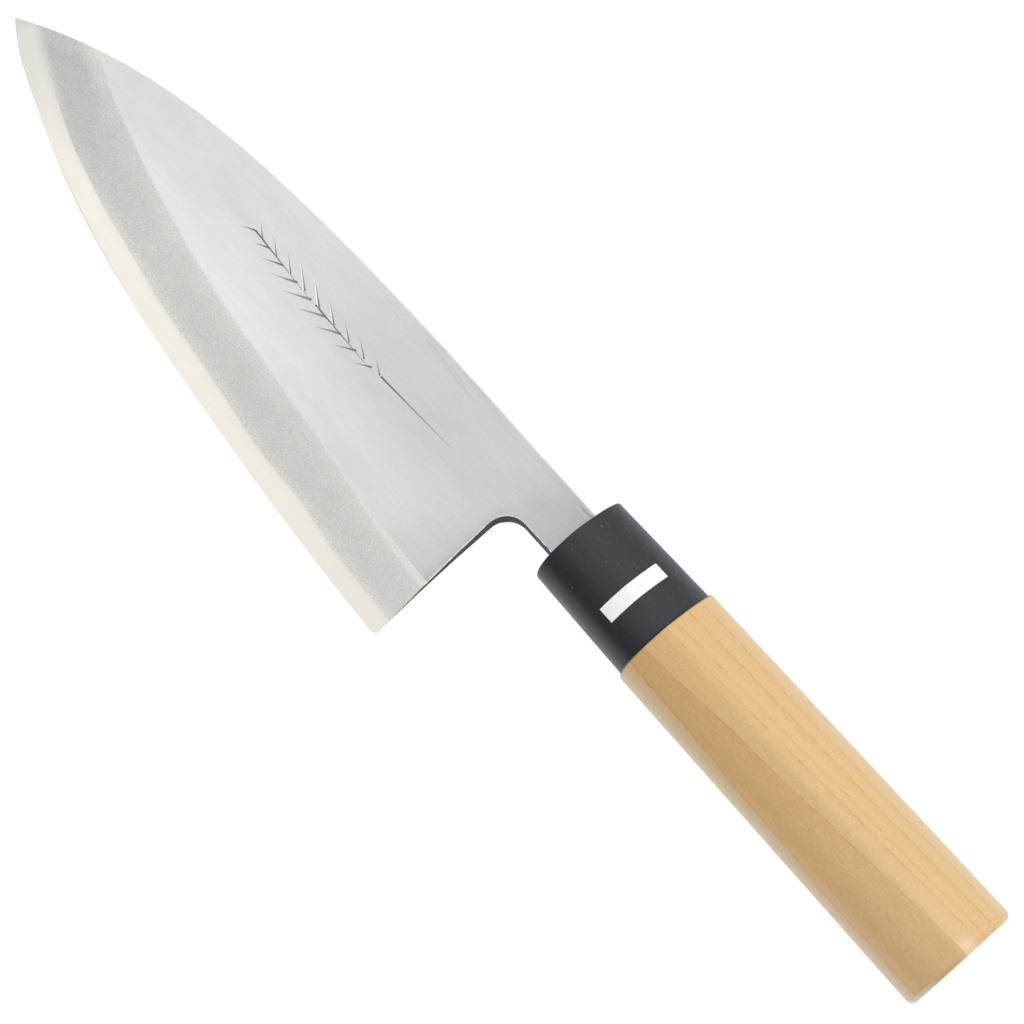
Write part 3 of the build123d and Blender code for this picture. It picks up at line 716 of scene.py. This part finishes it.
def usedWood(tree, spot, layers, colour):  # marks of the tool, of hands and of the floor
    along, across, facingTip = spot["Along"], spot["Across"], spot["FacingTip"]
    fromShoulder = layers["fromShoulder"]
    chatter = product(tree, patches(tree, spot["Place"], *wood["chatter"]),
                      between(tree, across, wood["chatterRise"], wood["chatterEndRise"]),
                      smooth(tree, fromShoulder, *wood["chatterRun"]), wood["chattered"])
    colour = tint(tree, chatter, colour, wood["line"])
    golden = product(tree, smooth(tree, fromShoulder, *wood["goldenRun"]), layers["notTongue"])
    colour = tint(tree, golden, colour, wood["late"])
    # painted sheen along both sides of the handle
    edgeSheen = product(tree, smooth(tree, spot["FacingEdge"], *wood["edgeFacing"]),
                       smooth(tree, layers["overLow"], *wood["belowTongue"]))
    sides = sums(tree, "ADD", edgeSheen, smooth(tree, spot["FacingEdge"], *wood["spineFacing"]))
    colour = tint(tree, sides, colour, wood["rim"])
    # painted highlight on the ridge near the butt
    ridgeSheen = product(tree, between(tree, across, wood["ridgeRise"], wood["ridgeEndRise"]),
                      smooth(tree, along, *wood["ridgeRun"]), wood["ridgeSheen"])
    colour = tint(tree, ridgeSheen, colour, wood["paintedSheen"])
    ridgeHighlight = product(tree, between(tree, across, wood["polishRise"], wood["polishEndRise"]),
                       smooth(tree, along, *wood["polishRun"]), wood["ridgeHighlightShare"])
    colour = tint(tree, ridgeHighlight, colour, wood["ridgeHighlight"])
    # painted shade where the edge side rounds over to the butt
    paintedRoundShade = product(tree, smooth(tree, facingTip, *wood["roundedFacing"]),
                      smooth(tree, across, *wood["roundedRise"]), wood["rounding"])
    colour = tint(tree, paintedRoundShade, colour, wood["paintedRoundShade"])
    butt = product(tree, smooth(tree, facingTip, *wood["buttFacing"]), wood["butt"])
    colour = tint(tree, butt, colour, wood["endGrain"])
    # painted sheen at the butt's lower corner
    paintedCornerSheen = product(tree, smooth(tree, facingTip, *wood["wornFacing"]),
                   smooth(tree, across, *wood["wornRise"]), wood["cornerSheenShare"])
    colour = tint(tree, paintedCornerSheen, colour, wood["paintedCornerSheen"])
    # painted shadow in the joint with the ferrule
    fromJoint = sums(tree, "SUBTRACT", wood["jointPlace"], along)
    colour = tint(tree, smooth(tree, fromJoint, *wood["jointShade"]), colour, wood["line"])
    return tint(tree, smooth(tree, fromJoint, *wood["jointFade"]), colour, wood["jointShadow"])


def finishWood():
    material, tree, surface = newMaterial("handleWood")
    spot = place(tree, knifePlace)
    layers = growth(tree, spot)
    fibres = waves(tree, layers["fibrePlace"], *wood["fibres"])
    colour = layeredWood(tree, spot, layers)
    colour = fibredWood(tree, layers, fibres, colour)
    colour = usedWood(tree, spot, layers, colour)
    rough = raised(tree, wood["roughness"], fibres, wood["roughFibre"])
    dress(tree, surface, colour, rough, fibres, wood["reliefDepth"], wood["relief"])
    surface.inputs["Coat Weight"].default_value = wood["coat"]
    surface.inputs["Coat Roughness"].default_value = wood["coatRoughness"]
    return material


# Label: blank white film

label = {
    "film": (0.985, 1.0, 1.0, 1), "soilAndShade": (0.80, 0.81, 0.80, 1), "grain": 0.25,
    "clouded": 0.12, "grained": 0.05,
    "spineSideShade": 0.30, "handledRise": (0.3, -0.3),  # painted shade: the half on the spine side is a little greyer
    "rough": 0.42, "roughGrain": 0.06, "reliefDepth": 0.00001, "relief": 0.5,
}


def finishLabel():
    material, tree, surface = newMaterial("labelFilm")
    spot = place(tree, knifePlace)
    grain = place(tree, grit, Place=spot["Place"], Size=label["grain"])
    # painted shade on the half on the spine side
    spineSideShade = smooth(tree, spot["Across"], *label["handledRise"])
    colour = label["film"]
    for mask, share in ((grain["Clouds"], "clouded"), (spineSideShade, "spineSideShade"), (grain["Grain"], "grained")):
        colour = tint(tree, product(tree, mask, label[share]), colour, label["soilAndShade"])
    rough = raised(tree, label["rough"], grain["Grain"], label["roughGrain"])
    dress(tree, surface, colour, rough, grain["Clouds"], label["reliefDepth"], label["relief"])
    return material


finishes = {
    "iron_body": finishIron, "steel_edge": finishSteel, "ferrule": finishFerrule,
    "handle": finishWood, "label": finishLabel,
}
for name, finish in finishes.items():
    node = frame["nodes"][name]
    material = finish()
    if node.material_slots:
        for slot in node.material_slots:
            slot.material = material
    else:
        node.data.materials.append(material)
print("finishes set on", len(finishes), "nodes")

# Floor, light and camera

studio = {  # metres and watts
    # the floor glows white, and the sky is brightest high on the spine side, where a soft panel hangs
    "floorHalf": 3.0, "floorDrop": 0.0001, "floorColour": (0.4, 0.4, 0.4, 1), "floorRough": 0.9,
    "floorGlow": 0.84, "glowColour": (1, 1, 1, 1),
    "skyBright": (0.10, -0.70, 0.70), "skySpan": (-0.9, 0.9),
    "skyLow": (0.22, 0.22, 0.22, 1), "skyHigh": (1.0, 1.0, 1.0, 1), "skyStrength": 1.0,
    "panelPlace": (0.15, -1.0, 1.05), "panelSize": (1.2, 1.0), "panelPower": 3.3,
}


def layFloor():
    half, low = studio["floorHalf"], -studio["floorDrop"]
    corners = [(-half, -half, low), (half, -half, low), (half, half, low), (-half, half, low)]
    mesh = bpy.data.meshes.new("floor")
    mesh.from_pydata(corners, [], [(0, 1, 2, 3)])
    floor = bpy.data.objects.new("floor", mesh)
    bpy.context.scene.collection.objects.link(floor)
    material, tree, surface = newMaterial("paleFloor")
    surface.inputs["Base Color"].default_value = studio["floorColour"]
    surface.inputs["Roughness"].default_value = studio["floorRough"]
    surface.inputs["Emission Color"].default_value = studio["glowColour"]
    surface.inputs["Emission Strength"].default_value = studio["floorGlow"]
    mesh.materials.append(material)


def lightStudio():
    world = bpy.data.worlds.new("studio")
    bpy.context.scene.world = world
    world.use_nodes = True
    tree = world.node_tree
    sky = tree.nodes["Background"]
    direction = tree.nodes.new("ShaderNodeTexCoord").outputs["Generated"]
    towards = dot(tree, direction, studio["skyBright"])
    colour = tint(tree, smooth(tree, towards, *studio["skySpan"]), studio["skyLow"], studio["skyHigh"])
    tree.links.new(colour, sky.inputs["Color"])
    sky.inputs["Strength"].default_value = studio["skyStrength"]
    lamp = bpy.data.lights.new("tipPanel", "AREA")
    lamp.shape = "RECTANGLE"
    lamp.size, lamp.size_y = studio["panelSize"]
    lamp.energy = studio["panelPower"]
    panel = bpy.data.objects.new("tipPanel", lamp)
    panel.location = studio["panelPlace"]
    panel.rotation_mode = "QUATERNION"
    panel.rotation_quaternion = (-Vector(studio["panelPlace"])).to_track_quat("-Z", "Y")
    bpy.context.scene.collection.objects.link(panel)


view = {
    "eye": (-122.75, 88.58, 638.3), "target": (15.02, 7.17, 0.0),  # in the knife's axes
    "buttRight": 0.6713, "buttDown": 0.7411,  # where the handle points in the picture
    "lens": 99.84, "sensor": 36.0,  # millimetres
    "clip": (0.01, 100),  # metres
}


def setCamera():
    eye, target = fromKnife(*view["eye"]), fromKnife(*view["target"])
    ahead = (target - eye).normalized()
    butt = -alongAxis
    butt = (butt - ahead * butt.dot(ahead)).normalized()
    side = ahead.cross(butt)
    right = view["buttRight"] * butt - view["buttDown"] * side
    down = view["buttDown"] * butt + view["buttRight"] * side
    data = bpy.data.cameras.new("camera")
    data.lens, data.sensor_width = view["lens"], view["sensor"]
    data.clip_start, data.clip_end = view["clip"]
    camera = bpy.data.objects.new("camera", data)
    turned = Matrix((right, -down, -ahead)).transposed().to_4x4()
    turned.translation = eye
    camera.matrix_world = turned
    bpy.context.scene.collection.objects.link(camera)
    bpy.context.scene.camera = camera


layFloor()
lightStudio()
setCamera()
bpy.context.scene.view_settings.view_transform = "Standard"
print("floor, light and camera set")
